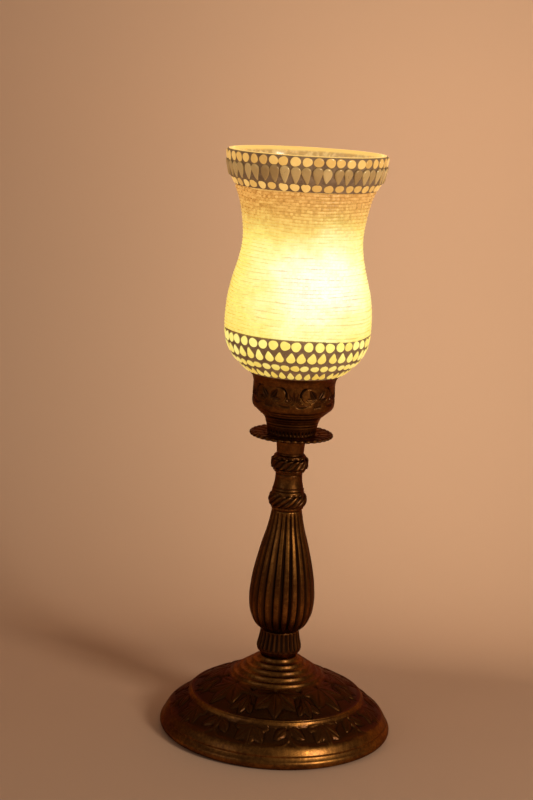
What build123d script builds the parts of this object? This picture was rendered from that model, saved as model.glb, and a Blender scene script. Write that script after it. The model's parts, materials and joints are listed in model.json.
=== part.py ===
from build123d import *
import math
import os

# Mosaic glass table lamp. Millimetres, +Z up, origin at the middle of the foot, on the table.

# ---- Driving sizes -------------------------------------------------------------------------
FOOT_R = 80.0           # rolled foot bead, outside
SHADE_TOP = 400.0       # rim of the shade
TUBE_R = 5.0            # M10 threaded tube
TUBE_BORE_R = 4.0
TUBE_BOTTOM = 9.5
TUBE_TOP = 236.2
STEM_BORE_R = 5.2       # clearance hole for the tube in the turned stem pieces
SHEET = 1.2             # spun brass sheet
FELT = 2.0
PLATE = 1.2             # steel closing plate
PLATE_R = 76.2
RIDGE_R = 60.6          # bead between the two embossed tiers
STEP_COUNT = 5          # concentric steps at the crown of the foot
STEP_R = 31.2
STEP_RUN = 4.4
STEP_RISE = 2.95
CROWN_TOP = 53.6        # where the stem stands on the foot
COLLAR_TOP = 72.0
VASE_TOP = 157.5
LOWER_ROPE_TOP = 171.5
SPOOL_TOP = 184.0
UPPER_ROPE_TOP = 196.0
PAN_BOTTOM = 209.0      # drip pan
PAN_R = 28.5
PAN_THICK = 2.2
CUP_BOTTOM = 224.5
CUP_R = 27.9
CUP_LIP_R = 31.0
CUP_LIP_Z = 252.6
HOLDER_R = 13.4         # E14 lampholder
HOLDER_BOTTOM = 231.8
HOLDER_TOP = 271.0
BULB_BOTTOM = 251.8     # underside of the bulb's centre contact
BULB_TOP = 350.0
BULB_R = 17.5           # C35 candle bulb
BULB_CAP_R = 6.9
GLASS = 2.4             # shade glass
BEAD_PITCH = 2.15       # one wound string of seed beads to the next
BEAD_R = 1.0
TILE_THICK = 2.0
TILE_GAP = 0.12         # adhesive under each tile and bead string
GROUT_GAP = 0.04        # adhesive film between glass and grout
GROUT_THICK = 1.5
GROUT_SAMPLES = 12
MIRROR_TIP_Z = 384.4    # lower ends of the mirror drops, where the grout is thickest
LEAD_R = 0.8
LEAD_HALF_GAP = 1.25    # each lead's distance from the tube's axis
LEAD_FLOOR_Z = 5.6      # leads on the closing plate
TERMINAL_Y = 63.0       # terminal block behind the weight

# Meridian of the shade's bare glass, outside, from the neck's shoulder to the rim: (radius, height).
GLASS_CURVE = [
    (28.4, 251.7), (35.6, 258.0), (43.4, 267.2), (46.7, 277.5), (47.2, 288.0), (45.1, 307.6), (39.2, 331.7),
    (38.0, 343.0), (39.5, 357.3), (44.4, 375.2), (46.9, 380.3), (49.2, 385.5), (50.6, 391.0),
    (52.0, SHADE_TOP),
]
NECK_R = 25.8
NECK_BOTTOM = 240.0

# Mosaic rows: node name, tiles in the row, height of the row's middle, shape, width, length, and whether
# the row is shifted by half a pitch.
TILE_ROWS = [
    ("rim_round_tiles", 45, 396.7, "round", 6.2, 6.2, False),
    ("mirror_drop_tiles", 47, 388.4, "drop_down", 6.0, 9.6, False),
    ("shoulder_round_tiles", 41, 380.4, "round", 5.6, 5.6, False),
    ("belly_round_tiles", 40, 277.6, "round", 6.2, 6.2, False),
    ("belly_drop_tiles", 40, 270.3, "drop_up", 5.7, 8.0, True),
    ("bowl_round_tiles", 40, 263.1, "round", 5.6, 5.6, False),
    ("bowl_drop_tiles", 40, 257.9, "drop_up", 4.5, 6.4, True),
]
BEADS_FROM = 282.3      # heights of the lowest and the highest bead string
BEADS_TO = 375.6


# ---- Helpers -------------------------------------------------------------------------------
def turned(edges):
    """A solid turned about Z from a closed outline of edges drawn as (radius, height)."""
    outline = make_face(Curve() + edges)
    return revolve(Plane.XZ * outline, Axis.Z)


def turned_points(points):
    """A solid turned about Z from the corners of a closed outline."""
    return turned([Polyline(*points, close=True)])


def around(shape, count, start=0.0):
    """Copies of a shape, evenly spaced about Z."""
    return [Rot(0, 0, start + 360.0 * i / count) * shape for i in range(count)]


def rod(radius, bottom, top, x=0.0, y=0.0):
    """An upright rod."""
    return Pos(x, y, (bottom + top) / 2) * Cylinder(radius, top - bottom)


def save(name, shape):
    export_step(shape, f"parts/{name}.step")


def save_group(name, solids):
    save(name, Compound(children=list(solids)))


def glass_edge():
    return Spline(*GLASS_CURVE)


GLASS_LINE = glass_edge()


def on_glass(z):
    """Point and outward normal (radial, vertical) of the glass's outer meridian at a height."""
    low, high = 0.0, 1.0
    for _ in range(40):
        middle = (low + high) / 2
        if (GLASS_LINE @ middle).Y < z:
            low = middle
        else:
            high = middle
    point = GLASS_LINE @ low
    tangent = GLASS_LINE % low
    return point.X, point.Y, tangent.Y, -tangent.X


def off_glass(z, distance):
    """The meridian's point at a height, moved outwards along the normal."""
    r, height, out_r, out_z = on_glass(z)
    return r + distance * out_r, height + distance * out_z


# ---- Foot ----------------------------------------------------------------------------------
def felt_pad():
    return rod(PLATE_R - 2.0, 0, FELT)


def base_plate():
    """Steel disc that closes the foot, with three countersunk holes."""
    plate = rod(PLATE_R, FELT, FELT + PLATE)
    return plate - around(plate_screw(), 3, 30)


def plate_screw():
    """Countersunk M3 screw, head flush with the plate's underside, 40 mm off the axis."""
    head = Pos(40, 0, FELT + PLATE / 2) * Cone(2.9, 1.5, PLATE)
    shank = rod(1.5, FELT + PLATE, FELT + PLATE + 8.0, x=40)
    return head + shank


def base_weight():
    """Cast iron weight on three feet, with a boss that carries the crown of the foot."""
    body = turned_points([
        (STEM_BORE_R, 15.2), (14.0, 15.2), (14.0, 8.0), (48.0, 8.0), (48.0, 20.0), (40.0, 25.0),
        (18.0, 30.0), (11.0, 38.0), (11.0, 50.4), (STEM_BORE_R, 50.4),
    ])
    foot = rod(5.0, FELT + PLATE, 8.0, x=40)
    return body + around(foot, 3, 30) - around(plate_screw(), 3, 30)


def base_outline():
    """Outer meridian of the spun foot, from the foot bead up to the crown."""
    bead = ThreePointArc((78.4, 0.6), (FOOT_R, 3.8), (77.9, 7.6))
    groove = ThreePointArc((77.9, 7.6), (77.2, 8.4), (77.5, 9.3))
    lower_tier = Spline((77.5, 9.3), (75.1, 13.2), (70.6, 17.6), (65.6, 21.4), (60.9, 24.6))
    ridge = ThreePointArc((60.9, 24.6), (RIDGE_R, 26.5), (58.9, 27.2))
    upper_tier = Spline((58.9, 27.2), (52.0, 31.2), (44.0, 35.2), (37.6, 37.9), (STEP_R + 1.4, 39.4))
    edges = [bead, groove, lower_tier, ridge, upper_tier]
    r, z = STEP_R + 1.4, 39.4
    for i in range(STEP_COUNT):
        edge_r = STEP_R - STEP_RUN * i
        top = CROWN_TOP - STEP_RISE * (STEP_COUNT - 1 - i)
        edges.append(Spline((r, z), (edge_r, top - 1.3), (edge_r - 1.0, top)))
        next_r = edge_r - STEP_RUN + 1.2
        edges.append(Line((edge_r - 1.0, top), (next_r, top)))
        r, z = next_r, top
    return edges, (r, z)


def base_shell():
    """Spun brass foot: a thin wall with a solid rolled edge and a slot for the cord grommet."""
    outer, (crown_r, crown_z) = base_outline()
    foot_floor = Line((76.5, 0.6), (78.4, 0.6))
    crown = Line((crown_r, crown_z), (STEM_BORE_R, crown_z))
    bore = Line((STEM_BORE_R, crown_z), (STEM_BORE_R, 50.4))
    crown_ceiling = Polyline((STEM_BORE_R, 50.4), (12.4, 50.4), (30.2, 39.2), (32.4, 38.1))
    ceiling = Spline(
        (32.4, 38.1), (43.6, 33.9), (51.4, 29.9), (59.6, 25.0), (64.6, 20.2), (69.5, 16.6), (76.5, 9.0),
    )
    wall = Line((76.5, 9.0), (76.5, 0.6))
    shell = turned([*outer, crown, bore, crown_ceiling, ceiling, wall, foot_floor])
    return shell - grommet_block()


def grommet_block():
    """The grommet's body without its cord slot, through the rolled edge at the back."""
    return Pos(0, 76.8, 5.9) * Box(7.8, 5.6, 4.8)


def cord_grommet():
    """Plastic grommet: body, inner flange and a flat slot for a twin flex."""
    flange = Pos(0, 74.9, 5.9) * Box(11.0, 1.8, 5.0)
    slot = Plane(origin=(0, 85, 5.9), x_dir=(1, 0, 0), z_dir=(0, 1, 0)) * SlotOverall(6.0, 3.4)
    return grommet_block() + flange - extrude(slot, 20, both=True)


def terminal_block():
    """Two-way terminal block with a wire channel and a screw well for each pole."""
    block = Pos(0, TERMINAL_Y, FELT + PLATE + 4.5) * Box(16.0, 12.0, 9.0)
    for x in (-4.0, 4.0):
        channel = Pos(x, TERMINAL_Y, LEAD_FLOOR_Z) * Rot(90, 0, 0) * Cylinder(1.4, 20)
        block -= channel
        for y in (TERMINAL_Y - 3.0, TERMINAL_Y + 3.0):
            block -= terminal_screw(x, y)
            block -= rod(1.6, 11.0, 13.0, x, y)
    return block


def terminal_screw(x, y):
    return rod(1.4, LEAD_FLOOR_Z + 1.5, 11.0, x, y)


def terminal_block_screws():
    return [terminal_screw(x, TERMINAL_Y + dy) for x in (-4.0, 4.0) for dy in (-3.0, 3.0)]


def lead(side):
    """One insulated lead: terminal block, across the plate, up the tube, out to the lampholder."""
    x = side * LEAD_HALF_GAP
    points = [
        (side * 4.0, TERMINAL_Y - 1.0, LEAD_FLOOR_Z), (side * 4.0, 49.0, LEAD_FLOOR_Z),
        (x, 22.0, LEAD_FLOOR_Z), (x, 0, LEAD_FLOOR_Z), (x, 0, TUBE_TOP + 0.4),
        (side * 7.0, 0, 242.0), (side * 7.0, 0, 246.4),
    ]
    path = FilletPolyline(*points, radius=[100, 190, 10, 8.5, 4.8])
    section = Plane(origin=points[0], z_dir=(0, -1, 0)) * Circle(LEAD_R)
    return sweep(section, path)


# ---- Stem ----------------------------------------------------------------------------------
def threaded_tube():
    return rod(TUBE_R, TUBE_BOTTOM, TUBE_TOP) - rod(TUBE_BORE_R, TUBE_BOTTOM, TUBE_TOP)


def hex_nut(bottom):
    """Thin M10 nut, 14 mm across flats."""
    nut = extrude(Plane.XY.offset(bottom) * RegularPolygon(7.0, 6, major_radius=False), 4.0)
    return nut - rod(TUBE_R, bottom - 1, bottom + 5)


def washer(bottom):
    return rod(9.5, bottom, bottom + 1.2) - rod(STEM_BORE_R, bottom, bottom + 1.2)


def tube_nuts():
    return [hex_nut(10.0), hex_nut(CUP_BOTTOM + 1.7 + 1.2)]


def tube_washers():
    return [washer(14.0), washer(CUP_BOTTOM + 1.7)]


def stem_collar():
    """Fluted collar: a chamfered foot under a flaring skirt."""
    return turned_points([
        (STEM_BORE_R, CROWN_TOP), (11.7, CROWN_TOP), (15.6, 59.0), (15.4, 61.0), (13.6, 69.0),
        (13.2, COLLAR_TOP), (STEM_BORE_R, COLLAR_TOP),
    ])


def stem_vase():
    """Hollow cast vase that takes up the middle of the stem."""
    outer = Spline(
        (13.2, COLLAR_TOP), (17.6, 76.0), (20.9, 82.6), (22.6, 94.0), (21.8, 106.0), (17.2, 129.0),
        (11.9, 148.6), (10.3, VASE_TOP),
    )
    inner = Spline((7.6, 152.0), (14.0, 128.0), (18.8, 104.0), (19.2, 92.0), (16.6, 82.0), (11.0, 76.0))
    return turned([
        Line((STEM_BORE_R, COLLAR_TOP), (13.2, COLLAR_TOP)), outer,
        Line((10.3, VASE_TOP), (STEM_BORE_R, VASE_TOP)),
        Line((STEM_BORE_R, VASE_TOP), (STEM_BORE_R, 152.0)),
        Line((STEM_BORE_R, 152.0), (7.6, 152.0)), inner,
        Line((11.0, 76.0), (STEM_BORE_R, 76.0)), Line((STEM_BORE_R, 76.0), (STEM_BORE_R, COLLAR_TOP)),
    ])


def stem_piece(outer_edges):
    """A turned stem piece with the tube's clearance hole; its outline runs upwards."""
    (r0, z0), (r1, z1) = [(p.X, p.Y) for p in (outer_edges[0] @ 0, outer_edges[-1] @ 1)]
    return turned([
        Line((STEM_BORE_R, z0), (r0, z0)), *outer_edges,
        Line((r1, z1), (STEM_BORE_R, z1)), Line((STEM_BORE_R, z1), (STEM_BORE_R, z0)),
    ])


def rope_ring_lower():
    return stem_piece([
        Line((10.6, VASE_TOP), (11.2, 159.0)),
        ThreePointArc((11.2, 159.0), (13.3, 164.4), (11.4, 169.8)),
        Line((11.4, 169.8), (11.2, LOWER_ROPE_TOP)),
    ])


def stem_spool():
    return stem_piece([Spline((11.0, LOWER_ROPE_TOP), (9.8, 175.5), (9.2, 180.0), (9.5, SPOOL_TOP))])


def rope_ring_upper():
    return stem_piece([
        Line((10.2, SPOOL_TOP), (11.2, 185.0)),
        ThreePointArc((11.2, 185.0), (12.8, 189.6), (11.2, 194.2)),
        Line((11.2, 194.2), (9.8, UPPER_ROPE_TOP)),
    ])


def stem_neck():
    return stem_piece([Spline((9.3, UPPER_ROPE_TOP), (9.5, 201.0), (10.6, 206.5), (12.4, PAN_BOTTOM))])


def drip_pan():
    """Flat pan with a thick rounded edge."""
    top = PAN_BOTTOM + PAN_THICK
    return turned([
        Line((STEM_BORE_R, PAN_BOTTOM), (14.0, PAN_BOTTOM)),
        Polyline((14.0, PAN_BOTTOM), (22.0, PAN_BOTTOM - 0.4), (PAN_R - 1.1, PAN_BOTTOM)),
        ThreePointArc((PAN_R - 1.1, PAN_BOTTOM), (PAN_R, PAN_BOTTOM + PAN_THICK / 2), (PAN_R - 1.1, top)),
        Polyline(
            (PAN_R - 1.1, top), (20.0, top - 0.6), (STEM_BORE_R, top - 0.6), (STEM_BORE_R, PAN_BOTTOM),
        ),
    ])


def cup_neck():
    """Short bell between the drip pan and the cup."""
    bottom = PAN_BOTTOM + PAN_THICK - 0.6
    return stem_piece([
        Spline((16.6, bottom), (17.0, 214.5), (17.8, 217.6)),
        ThreePointArc((17.8, 217.6), (19.3, 221.9), (21.6, CUP_BOTTOM)),
    ])


# ---- Cup and lampholder --------------------------------------------------------------------
def gallery_cup():
    """Spun cup with a flared lip that the shade sits in."""
    floor_top = CUP_BOTTOM + 1.7
    steps = Polyline((22.0, CUP_BOTTOM), (22.4, 226.0), (24.0, 226.4), (24.4, 227.8), (26.0, 228.2))
    shoulder = ThreePointArc((26.0, 228.2), (27.4, 229.8), (CUP_R, 233.0))
    wall = Line((CUP_R, 233.0), (CUP_R - 0.3, 245.6))
    lip = Spline((CUP_R - 0.3, 245.6), (28.6, 249.4), (CUP_LIP_R, CUP_LIP_Z))
    lip_edge = Line((CUP_LIP_R, CUP_LIP_Z), (CUP_LIP_R - 0.9, CUP_LIP_Z + 0.3))
    inside = Spline((CUP_LIP_R - 0.9, CUP_LIP_Z + 0.3), (27.5, 249.9), (26.5, 245.6))
    inner_wall = Polyline((26.5, 245.6), (26.6, 232.0), (24.6, 229.4), (21.6, floor_top))
    floor = Polyline(
        (21.6, floor_top), (STEM_BORE_R, floor_top), (STEM_BORE_R, CUP_BOTTOM), (22.0, CUP_BOTTOM),
    )
    return turned([steps, shoulder, wall, lip, lip_edge, inside, inner_wall, floor])


def holder_cap():
    """Moulded cap of the lampholder, screwed onto the tube."""
    return turned_points([
        (TUBE_R, HOLDER_BOTTOM), (7.6, HOLDER_BOTTOM), (7.6, 235.2), (HOLDER_R, 239.2), (HOLDER_R, 247.0),
        (11.7, 247.0), (11.7, 240.6), (TUBE_R, TUBE_TOP + 0.6),
    ])


def holder_sleeve():
    return rod(HOLDER_R, 247.0, HOLDER_TOP) - rod(11.7, 247.0, HOLDER_TOP)


def holder_insert():
    """Ceramic core: a socket well with two wire entries below and two screw terminals."""
    core = rod(11.5, 244.0, 268.0) - rod(7.9, 249.4, 268.0)
    for side in (-1, 1):
        core -= rod(1.1, 244.0, 246.6, x=side * 7.0)
        core -= holder_screw(side)
    return core


def holder_screw(side):
    """Terminal screw of the lampholder, across the wire entry's end."""
    return Pos(side * 9.5, 0, 247.9) * Rot(0, 90, 0) * Cylinder(1.2, 4.0)


def holder_screw_shell():
    """Brass screw shell of the socket."""
    return rod(7.8, 250.2, 267.4) - rod(7.3, 250.2, 267.4)


def holder_contacts():
    """Centre tongue and side contact at the bottom of the socket well."""
    centre = Pos(0, 0, 249.4 + 0.9) * Box(4.0, 3.0, 1.8)
    side = Pos(6.4, 0, 249.4 + 0.4) * Box(2.4, 3.0, 0.8)
    return [centre, side]


# ---- Bulb ----------------------------------------------------------------------------------
def bulb_contact():
    return Pos(0, 0, BULB_BOTTOM + 0.8) * Cone(1.6, 2.3, 1.6)


def bulb_insulator():
    return turned_points([(0, 253.4), (2.3, 253.4), (5.4, 256.0), (5.4, 257.0), (0, 257.0)])


def bulb_cap():
    """E14 screw cap with a flared skirt above the lampholder."""
    return turned_points([
        (5.4, 255.6), (BULB_CAP_R, 258.0), (BULB_CAP_R, 271.6), (8.2, 273.4), (8.2, 276.6), (7.7, 276.6),
        (7.7, 273.8), (6.4, 272.0), (6.4, 258.4), (5.4, 257.4),
    ])


def bulb_glass():
    """Thin candle-shaped envelope, closed at the tip and open where the cap holds it."""
    outer = Spline(
        (7.5, 276.8), (10.2, 283.0), (15.6, 294.0), (BULB_R, 307.0), (15.0, 322.0), (8.8, 337.5),
        (3.6, 347.4), (0, BULB_TOP), tangents=((0, 1), (-1, 0)),
    )
    inner = Spline(
        (0, BULB_TOP - 0.8), (3.2, 346.6), (8.1, 337.2), (14.3, 321.8), (BULB_R - 0.7, 307.0),
        (14.9, 294.2),
        (9.5, 283.3), (6.8, 276.8), tangents=((1, 0), (0, -1)),
    )
    neck = Polyline((6.8, 276.8), (6.8, 274.2), (7.5, 274.2), (7.5, 276.8))
    return turned([outer, Line((0, BULB_TOP), (0, BULB_TOP - 0.8)), inner, neck])


def bulb_stem():
    """Pressed glass stem that stands in the neck of the bulb."""
    return turned_points([(0, 274.6), (6.2, 274.6), (3.0, 280.0), (2.0, 289.6), (0, 289.6)])


def bulb_wires():
    """Support wires: a mast on the stem with a cross at each end of the filaments."""
    wires = rod(0.5, 289.6, 324.2)
    for z in (291.2, 323.8):
        wires += Pos(0, 0, z) * Rot(0, 90, 0) * Cylinder(0.4, 11.0)
        wires += Pos(0, 0, z) * Rot(90, 0, 0) * Cylinder(0.4, 11.0)
    return wires


def bulb_filaments():
    return around(rod(0.8, 291.6, 323.4, x=4.6), 4)


# ---- Shade ---------------------------------------------------------------------------------
def shade_glass():
    """Blown glass: a straight neck, a rounded bowl, a waist and a flared mouth."""
    start = GLASS_CURVE[0]
    shoulder = ThreePointArc((NECK_R, 248.6), (26.6, 250.6), start)
    heights = [254.0, 262.0, 270.0, 280.0, 292.0, 310.0, 331.0, 343.0, 357.0, 375.0, 387.0]
    inner_points = [off_glass(z, -GLASS) for z in reversed(heights)]
    inner = Spline((52.0 - GLASS, SHADE_TOP), *inner_points, (27.0, 252.6))
    return turned([
        Line((NECK_R, NECK_BOTTOM), (NECK_R, 248.6)), shoulder, glass_edge(),
        Line((52.0, SHADE_TOP), (52.0 - GLASS, SHADE_TOP)), inner,
        Polyline(
            (27.0, 252.6), (NECK_R - GLASS, 249.6), (NECK_R - GLASS, NECK_BOTTOM), (NECK_R, NECK_BOTTOM),
        ),
    ])


def grout_band(bottom, top, swell_z, swell):
    """A band of grout on the glass, swollen by a smooth bulge about one height."""
    heights = [bottom + (top - bottom) * i / GROUT_SAMPLES for i in range(GROUT_SAMPLES + 1)]
    outer_points = [
        off_glass(z, GROUT_THICK + swell * math.exp(-((z - swell_z) / 2.5) ** 2)) for z in heights
    ]
    inner_points = [off_glass(z, GROUT_GAP) for z in reversed(heights)]
    return turned([
        Spline(*outer_points), Line(outer_points[-1], inner_points[0]),
        Spline(*inner_points), Line(inner_points[-1], outer_points[0]),
    ])


def tile_sketch(shape, width, length):
    """A round tile or a teardrop, drawn about its middle with the meridian upwards."""
    if shape == "round":
        return Circle(width / 2)
    up = 1.0 if shape == "drop_up" else -1.0
    radius = width / 2
    centre_y = -up * (length / 2 - radius)
    tip_y = up * length / 2
    side = math.acos(radius / (length - radius))
    touch_x = radius * math.sin(side)
    touch_y = centre_y + up * radius * math.cos(side)
    return make_face([
        ThreePointArc((-touch_x, touch_y), (0, centre_y - up * radius), (touch_x, touch_y)),
        Line((touch_x, touch_y), (0, tip_y)),
        Line((0, tip_y), (-touch_x, touch_y)),
    ])


def tile(z, shape, width, length):
    """One tile on the front of the shade, facing along the glass's normal."""
    r, height, out_r, out_z = on_glass(z)
    plane = Plane(origin=(0, -r, height), x_dir=(1, 0, 0), z_dir=(0, -out_r, out_z)).offset(TILE_GAP)
    return extrude(plane * tile_sketch(shape, width, length), TILE_THICK)


def tile_row(count, z, shape, width, length, shifted):
    start = 180.0 / count if shifted else 0.0
    return around(tile(z, shape, width, length), count, start)


def bead_strings():
    """Rings of threaded seed beads, wound side by side around the glass."""
    count = round((BEADS_TO - BEADS_FROM) / BEAD_PITCH)
    rings = []
    for i in range(count + 1):
        z = BEADS_FROM + (BEADS_TO - BEADS_FROM) * i / count
        r, height = off_glass(z, BEAD_R + TILE_GAP)
        rings.append(Pos(0, 0, height) * Torus(r, BEAD_R - 0.02))
    return rings


def with_pockets(band, rows):
    """A grout band with a pocket for each tile of the given rows."""
    return band - [solid for row in rows for solid in tile_row(*row[1:])]


# ---- Files ---------------------------------------------------------------------------------
def main():
    os.makedirs("parts", exist_ok=True)
    single = [
        felt_pad, base_plate, base_weight, base_shell, cord_grommet, terminal_block, threaded_tube,
        stem_collar, stem_vase, rope_ring_lower, stem_spool, rope_ring_upper, stem_neck, drip_pan,
        cup_neck, gallery_cup, holder_cap, holder_sleeve, holder_insert, holder_screw_shell,
        bulb_contact, bulb_insulator, bulb_cap, bulb_glass, bulb_stem, bulb_wires, shade_glass,
    ]
    groups = [terminal_block_screws, tube_nuts, tube_washers, holder_contacts, bulb_filaments, bead_strings]
    for make in single:
        save(make.__name__, make())
    for make in groups:
        save_group(make.__name__, make())
    save_group("base_plate_screws", around(plate_screw(), 3, 30))
    save_group("holder_screws", [holder_screw(-1), holder_screw(1)])
    save("lead_live", lead(-1))
    save("lead_neutral", lead(1))
    for name, *row in TILE_ROWS:
        save_group(name, tile_row(*row))
    save("grout_upper", with_pockets(grout_band(377.2, 399.9, MIRROR_TIP_Z, 1.0), TILE_ROWS[:3]))
    save("grout_lower", with_pockets(grout_band(254.6, 281.2, 281.2, 0.0), TILE_ROWS[3:]))


main()
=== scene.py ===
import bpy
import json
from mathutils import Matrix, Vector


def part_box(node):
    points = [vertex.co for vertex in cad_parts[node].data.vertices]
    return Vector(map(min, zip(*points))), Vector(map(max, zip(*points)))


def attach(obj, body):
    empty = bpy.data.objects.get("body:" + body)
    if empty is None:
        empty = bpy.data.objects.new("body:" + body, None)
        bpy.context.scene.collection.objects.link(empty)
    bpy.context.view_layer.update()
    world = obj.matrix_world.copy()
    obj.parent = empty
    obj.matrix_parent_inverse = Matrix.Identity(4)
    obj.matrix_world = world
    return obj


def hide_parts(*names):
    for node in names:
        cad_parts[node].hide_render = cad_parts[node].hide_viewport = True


bl_info = {
    "name": "Mosaic Table Lamp",
    "version": (1, 0, 0),
    "blender": (4, 5, 0),
    "location": "3D View > Sidebar > Mosaic Lamp",
    "description": "Beaded mosaic glass shade on an embossed antique brass lamp",
    "category": "Object",
}

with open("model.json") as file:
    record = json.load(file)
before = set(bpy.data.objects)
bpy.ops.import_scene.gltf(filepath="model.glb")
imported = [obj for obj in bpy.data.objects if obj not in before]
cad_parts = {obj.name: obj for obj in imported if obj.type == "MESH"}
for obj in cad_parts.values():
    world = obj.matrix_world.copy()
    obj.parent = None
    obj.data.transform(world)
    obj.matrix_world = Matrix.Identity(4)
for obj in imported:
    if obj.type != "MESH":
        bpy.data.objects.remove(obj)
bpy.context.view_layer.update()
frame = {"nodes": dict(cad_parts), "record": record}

import json
import math

import bpy
import numpy as np
from bpy.props import FloatProperty, FloatVectorProperty, PointerProperty
from mathutils import Matrix, Vector

MM = 0.001
TURN = 2 * math.pi

# Heights (mm) of the bottom and the top of each CAD piece, read from the frame.
LOW = {name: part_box(name)[0][2] / MM for name in frame["nodes"]}
HIGH = {name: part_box(name)[1][2] / MM for name in frame["nodes"]}

BORE = 5.3  # radius (mm) of the clearance hole down the stem


# ---- Curves and relief -----------------------------------------------------------------------
def smooth_line(points, count):
    """Even samples of a curve through the points.

    Each stretch is a cubic Hermite curve over the chord length, with tangents from the central
    differences of the points on either side.
    """
    points = np.array(points, float)
    step = np.maximum(np.hypot(*np.diff(points, axis=0).T), 1e-6)
    place = np.concatenate([[0], np.cumsum(step)])
    slope = np.gradient(points, place, axis=0)
    at = np.linspace(0, place[-1], count)
    i = np.clip(np.searchsorted(place, at, "right") - 1, 0, len(points) - 2)
    t = ((at - place[i]) / step[i])[:, None]
    gap = step[i][:, None]
    ends = (2 * t**3 - 3 * t**2 + 1) * points[i] + (3 * t**2 - 2 * t**3) * points[i + 1]
    lean = (t**3 - 2 * t**2 + t) * slope[i] + (t**3 - t**2) * slope[i + 1]
    return ends + gap * lean


def arc(centre, radius, start, end, count):
    """Points of a circular arc, from one angle in degrees to another."""
    angle = np.radians(np.linspace(start, end, count))
    return np.stack([centre[0] + radius * np.cos(angle), centre[1] + radius * np.sin(angle)], -1)


def bump(distance, width):
    """A round-topped bump: one at no distance, nothing past the width."""
    return np.sqrt(np.clip(1 - (distance / width) ** 2, 0, 1))


def soft_step(x, start, end):
    """Nothing before the start, one after the end, and a smooth cubic between."""
    t = np.clip((x - start) / (end - start), 0, 1)
    return t * t * (3 - 2 * t)


def leaf(x, y, place, angle, length, width):
    """Height of an almond-shaped leaf with a sunk midrib, from its stalk along the angle in degrees.

    The half width follows a sine along the leaf, and the height is a round bump across it, with one
    side standing a little higher than the other.
    """
    turn = math.radians(angle)
    along = (x - place[0]) * math.sin(turn) + (y - place[1]) * math.cos(turn)
    across = (x - place[0]) * math.cos(turn) - (y - place[1]) * math.sin(turn)
    inside = np.clip(along / length, 0, 1)
    half = width / 2 * np.sin(math.pi * inside**0.8) + 1e-6
    blade = bump(across, half) * (along > 0) * (along < length)
    lean = 0.88 + 0.12 * np.clip(across / half, -1, 1)
    return blade * lean * (1 - 0.55 * np.exp(-((across / 0.45) ** 2)))


def leaves(x, y, blades):
    """Height of a group of leaves, and a cover that reaches a little past each leaf's outline."""
    high, cover = 0 * x, 0 * x
    for place, lean, length, width in blades:
        high = np.maximum(high, leaf(x, y, place, lean, length, width))
        cover = np.maximum(cover, leaf(x, y, place, lean, length + 0.8, width + 1.8))
    return high, cover


def stem_line(x, y, centre, radius, width, start, end):
    """Height of a curved stalk: a round ridge along an arc between two angles in degrees."""
    dx, dy = x - centre[0], y - centre[1]
    angle = np.degrees(np.arctan2(dy, dx))
    return bump(np.hypot(dx, dy) - radius, width) * (angle > start) * (angle < end)


def sector(theta, count, shift=0.0):
    """Angle from the middle of the nearest of count equal sectors, in radians."""
    size = TURN / count
    return (theta + shift * size + size / 2) % size - size / 2


# ---- Meshes ----------------------------------------------------------------------------------
def add_piece(name, verts, faces, body, slot, stands_for=(), relief=None, tone=None):
    """Puts a mesh (mm) into the scene with its relief and tone attributes, on its CAD body."""
    mesh = bpy.data.meshes.new(name)
    faces = faces.tolist() if hasattr(faces, "tolist") else faces
    mesh.from_pydata(np.asarray(verts, float) * MM, [], faces)
    for label, values in (("relief", relief), ("tone", tone)):
        if values is not None:
            layer = mesh.attributes.new(label, "FLOAT", "POINT")
            layer.data.foreach_set("value", np.asarray(values, np.float32).ravel())
    mesh.validate()
    mesh.polygons.foreach_set("use_smooth", np.ones(len(mesh.polygons), bool))
    mesh.update()
    piece = bpy.data.objects.new(name, mesh)
    bpy.context.scene.collection.objects.link(piece)
    mesh.materials.append(FINISHES[slot]())
    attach(piece, body)
    if stands_for:
        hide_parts(*stands_for)
    return piece


def grid_faces(rows, columns, close_rows=True):
    """Quads of a grid that is closed across its columns, and across its rows where asked."""
    row = np.arange(rows if close_rows else rows - 1)[:, None]
    column = np.arange(columns)[None, :]
    up, right = (row + 1) % rows, (column + 1) % columns
    quads = [row * columns + column, row * columns + right, up * columns + right, up * columns + column]
    return np.stack([np.broadcast_to(q, (len(row), columns)) for q in quads], -1).reshape(-1, 4)


def section_normals(section):
    """Outward normals of a closed section that runs anticlockwise as (radius, height)."""
    along = np.roll(section, -1, 0) - np.roll(section, 1, 0)
    along /= np.maximum(np.hypot(*along.T), 1e-9)[:, None]
    return np.stack([along[:, 1], -along[:, 0]], -1)


def turned_mesh(outer, inner, turns, relief, least=0.8):
    """Vertices, faces and relief of a closed shell turned about the axis.

    The section is the outer line and then the inner line back. Each outer point is sunk along the
    section's normal by relief(angle, radius, height), in millimetres.
    """
    outer, inner = np.asarray(outer, float), np.asarray(inner, float)
    section = np.concatenate([outer, inner])
    normals = section_normals(section)
    theta = np.arange(turns) / turns * TURN
    line_r, angle = np.meshgrid(outer[:, 0], theta, indexing="ij")
    sunk = relief(angle, line_r, outer[:, 1:] + 0 * angle)
    depth = np.zeros((len(section), turns))
    depth[: len(outer)] = np.maximum(sunk, 0)
    r = section[:, :1] - depth * normals[:, :1]
    z = section[:, 1:] - depth * normals[:, 1:]
    verts = np.stack([r * np.sin(theta), -r * np.cos(theta), z + 0 * r], -1).reshape(-1, 3)
    faces = grid_faces(len(section), turns)[:, ::-1]
    return verts, faces, 1 - depth / max(depth.max(), least)


def turned_piece(name, outer, inner, turns, relief, body, slot, stands_for, least=0.8):
    """Adds a turned shell as a piece, with its height over the relief as an attribute."""
    verts, faces, height = turned_mesh(outer, inner, turns, relief, least)
    return add_piece(name, verts, faces, body, slot, stands_for, relief=height)


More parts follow.
